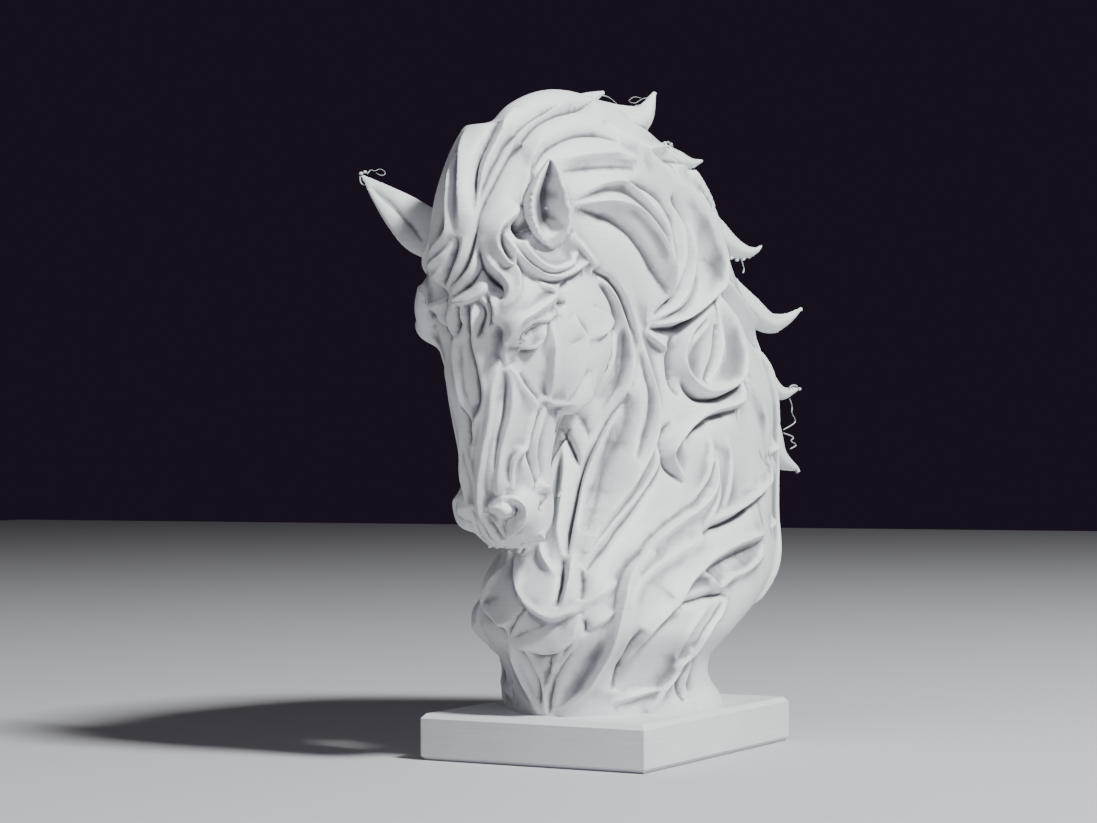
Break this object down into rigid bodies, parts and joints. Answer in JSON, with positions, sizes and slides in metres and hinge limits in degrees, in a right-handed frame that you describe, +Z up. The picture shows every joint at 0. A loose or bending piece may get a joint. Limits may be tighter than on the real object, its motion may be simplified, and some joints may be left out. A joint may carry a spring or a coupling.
{
  "type": "horse bust",
  "caption": "Small desk figure of a horse's head and arched neck with a flowing mane, rising from a flat rectangular plinth.",
  "frame": {"origin": "middle of the plinth's underside, which rests on the shelf or table", "axes": "+Z up, -Y the way the horse faces, +X the horse's left side"},
  "size_m": [0.0659, 0.1378, 0.1508],
  "materials": {
    "printed_plastic": "matte white with fine layer lines"
  },
  "bodies": {
    "root": {"horse_bust": "printed_plastic"}
  },
  "joints": []
}
